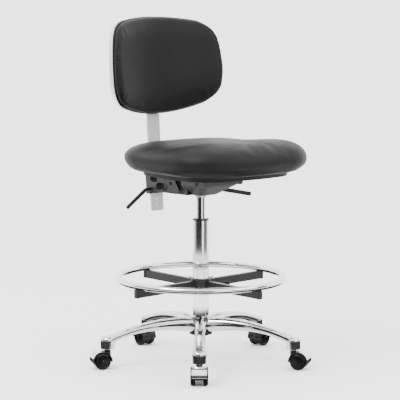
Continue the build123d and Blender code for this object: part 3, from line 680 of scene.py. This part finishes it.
# %% [markdown]
# ## Floor, lights and camera
#
# A pale floor and a white surround, with a key light high on the left and a softer one on the
# right. Mirror-like surfaces see a studio with a dark stretch on the camera's side, which is
# what draws the dark and light lines down the chromed tubes.

# %%
bpy.ops.mesh.primitive_circle_add(vertices=96, radius=2.2, fill_type="NGON", location=(0, 0, -0.0003))
floor = bpy.context.object
floor.name = "studio_floor"
floor_finish = finish("studio_floor", (0.93, 0.93, 0.93), 0, 0.8, vary=0.03, specular=0.2)
floor.data.materials.append(floor_finish)
floor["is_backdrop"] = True

# Mirrors see a dark ring in the floor round the chair, which shades the sides of the base.
ground = floor_finish.node_tree
far_floor = ground.nodes.new("ShaderNodeBsdfDiffuse")
far_floor.inputs["Color"].default_value = (0.015, 0.015, 0.015, 1)
away = ground.nodes.new("ShaderNodeVectorMath")
away.operation = "LENGTH"
darker = ground.nodes.new("ShaderNodeFloatCurve")
reach = darker.mapping.curves[0]
reach.points[0].location = (0.0, 0.0)
reach.points[1].location = (1.0, 0.0)
for radius, share in ((0.15, 0.0), (0.42, 1.0), (0.80, 1.0), (0.98, 0.0)):
    reach.points.new(radius, share)
darker.mapping.update()
seen_by = ground.nodes.new("ShaderNodeLightPath")
share_dark = ground.nodes.new("ShaderNodeMath")
share_dark.operation = "MULTIPLY"
either = ground.nodes.new("ShaderNodeMixShader")
ground.links.new(ground.nodes["Texture Coordinate"].outputs["Object"], away.inputs[0])
ground.links.new(away.outputs["Value"], darker.inputs["Value"])
ground.links.new(darker.outputs["Value"], share_dark.inputs[0])
ground.links.new(seen_by.outputs["Is Glossy Ray"], share_dark.inputs[1])
ground.links.new(share_dark.outputs["Value"], either.inputs[0])
ground.links.new(ground.nodes["Principled BSDF"].outputs["BSDF"], either.inputs[1])
ground.links.new(far_floor.outputs["BSDF"], either.inputs[2])
ground.links.new(either.outputs["Shader"], ground.nodes["Material Output"].inputs["Surface"])

turn = math.radians(40.5)
to_camera = Vector((-math.sin(turn), -math.cos(turn), 0))
rightwards = Vector((math.cos(turn), -math.sin(turn), 0))


def soft_light(name, place, size, energy, target=(0, 0, 0.6)):
    """A square area light that faces a point."""
    lamp = bpy.data.lights.new(name, "AREA")
    lamp.shape = "SQUARE"
    lamp.size = size
    lamp.energy = energy
    holder = bpy.data.objects.new(name, lamp)
    holder.location = place
    holder.rotation_mode = "QUATERNION"
    holder.rotation_quaternion = (Vector(target) - Vector(place)).to_track_quat("-Z", "Y")
    scene.collection.objects.link(holder)
    return holder


soft_light("key", to_camera * 1.6 - rightwards * 1.8 + Vector((0, 0, 3.0)), 1.6, 110)
soft_light("fill", to_camera * 1.2 + rightwards * 2.4 + Vector((0, 0, 1.6)), 1.8, 30)

world = bpy.data.worlds.new("studio")
scene.world = world
world.use_nodes = True
sky = world.node_tree
sky.nodes.clear()
output = sky.nodes.new("ShaderNodeOutputWorld")
background = sky.nodes.new("ShaderNodeBackground")
choose = sky.nodes.new("ShaderNodeMix")
choose.data_type = "RGBA"
rays = sky.nodes.new("ShaderNodeLightPath")
direction = sky.nodes.new("ShaderNodeTexCoord")


def coloured(sockets, name):
    """The colour socket of that name on a mix node, which has one for each kind of value."""
    return next(s for s in sockets if s.name == name and s.type == "RGBA")


def along(vector, stops):
    """A grey ramp over how far a direction lies along a vector, from -1 to 1."""
    dot = sky.nodes.new("ShaderNodeVectorMath")
    dot.operation = "DOT_PRODUCT"
    dot.inputs[1].default_value = vector
    scaled = sky.nodes.new("ShaderNodeMapRange")
    scaled.inputs["From Min"].default_value = -1
    ramp = sky.nodes.new("ShaderNodeValToRGB")
    elements = ramp.color_ramp.elements
    first, *between, last = stops
    elements[0].position, elements[1].position = first[0], last[0]
    elements[0].color = (first[1], first[1], first[1], 1)
    elements[1].color = (last[1], last[1], last[1], 1)
    for where, grey in between:
        elements.new(where).color = (grey, grey, grey, 1)
    sky.links.new(direction.outputs["Generated"], dot.inputs[0])
    sky.links.new(dot.outputs["Value"], scaled.inputs["Value"])
    sky.links.new(scaled.outputs["Result"], ramp.inputs["Fac"])
    return ramp.outputs["Color"]


sideways = along(rightwards, [
    (0.0, 0.30), (0.06, 0.01), (0.62, 0.01), (0.69, 0.85), (0.80, 0.85), (0.87, 0.06), (1.0, 0.10),
])
nearness = along(to_camera, [(0.0, 1.0), (0.36, 1.0), (0.46, 0.0), (1.0, 0.0)])
height = along(Vector((0, 0, 1)), [(0.0, 0.0), (0.66, 0.0), (0.80, 0.9), (1.0, 1.0)])


def lighter(one, other):
    """The lighter of two greys."""
    node = sky.nodes.new("ShaderNodeMix")
    node.data_type = "RGBA"
    node.blend_type = "LIGHTEN"
    node.inputs[0].default_value = 1
    sky.links.new(one, coloured(node.inputs, "A"))
    sky.links.new(other, coloured(node.inputs, "B"))
    return coloured(node.outputs, "Result")


studio = lighter(lighter(sideways, nearness), height)
coloured(choose.inputs, "A").default_value = (1, 1, 1, 1)
sky.links.new(rays.outputs["Is Glossy Ray"], choose.inputs[0])
sky.links.new(studio, coloured(choose.inputs, "B"))
sky.links.new(coloured(choose.outputs, "Result"), background.inputs["Color"])
sky.links.new(background.outputs["Background"], output.inputs["Surface"])
background.inputs["Strength"].default_value = 3.2

lens = bpy.data.cameras.new("camera")
lens.lens = 153.44
lens.sensor_width = 36
lens.shift_x = -0.002
camera = bpy.data.objects.new("camera", lens)
camera.location = to_camera * 5.2 + Vector((0, 0, 1.16))
pitch = math.radians(7.161)
forward = -to_camera * math.cos(pitch) - Vector((0, 0, math.sin(pitch)))
camera.rotation_mode = "QUATERNION"
camera.rotation_quaternion = forward.to_track_quat("-Z", "Y")
lens.clip_start = 0.1
lens.clip_end = 100
scene.collection.objects.link(camera)
scene.camera = camera
print("camera at", [round(c, 3) for c in camera.location])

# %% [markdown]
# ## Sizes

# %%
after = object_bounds()
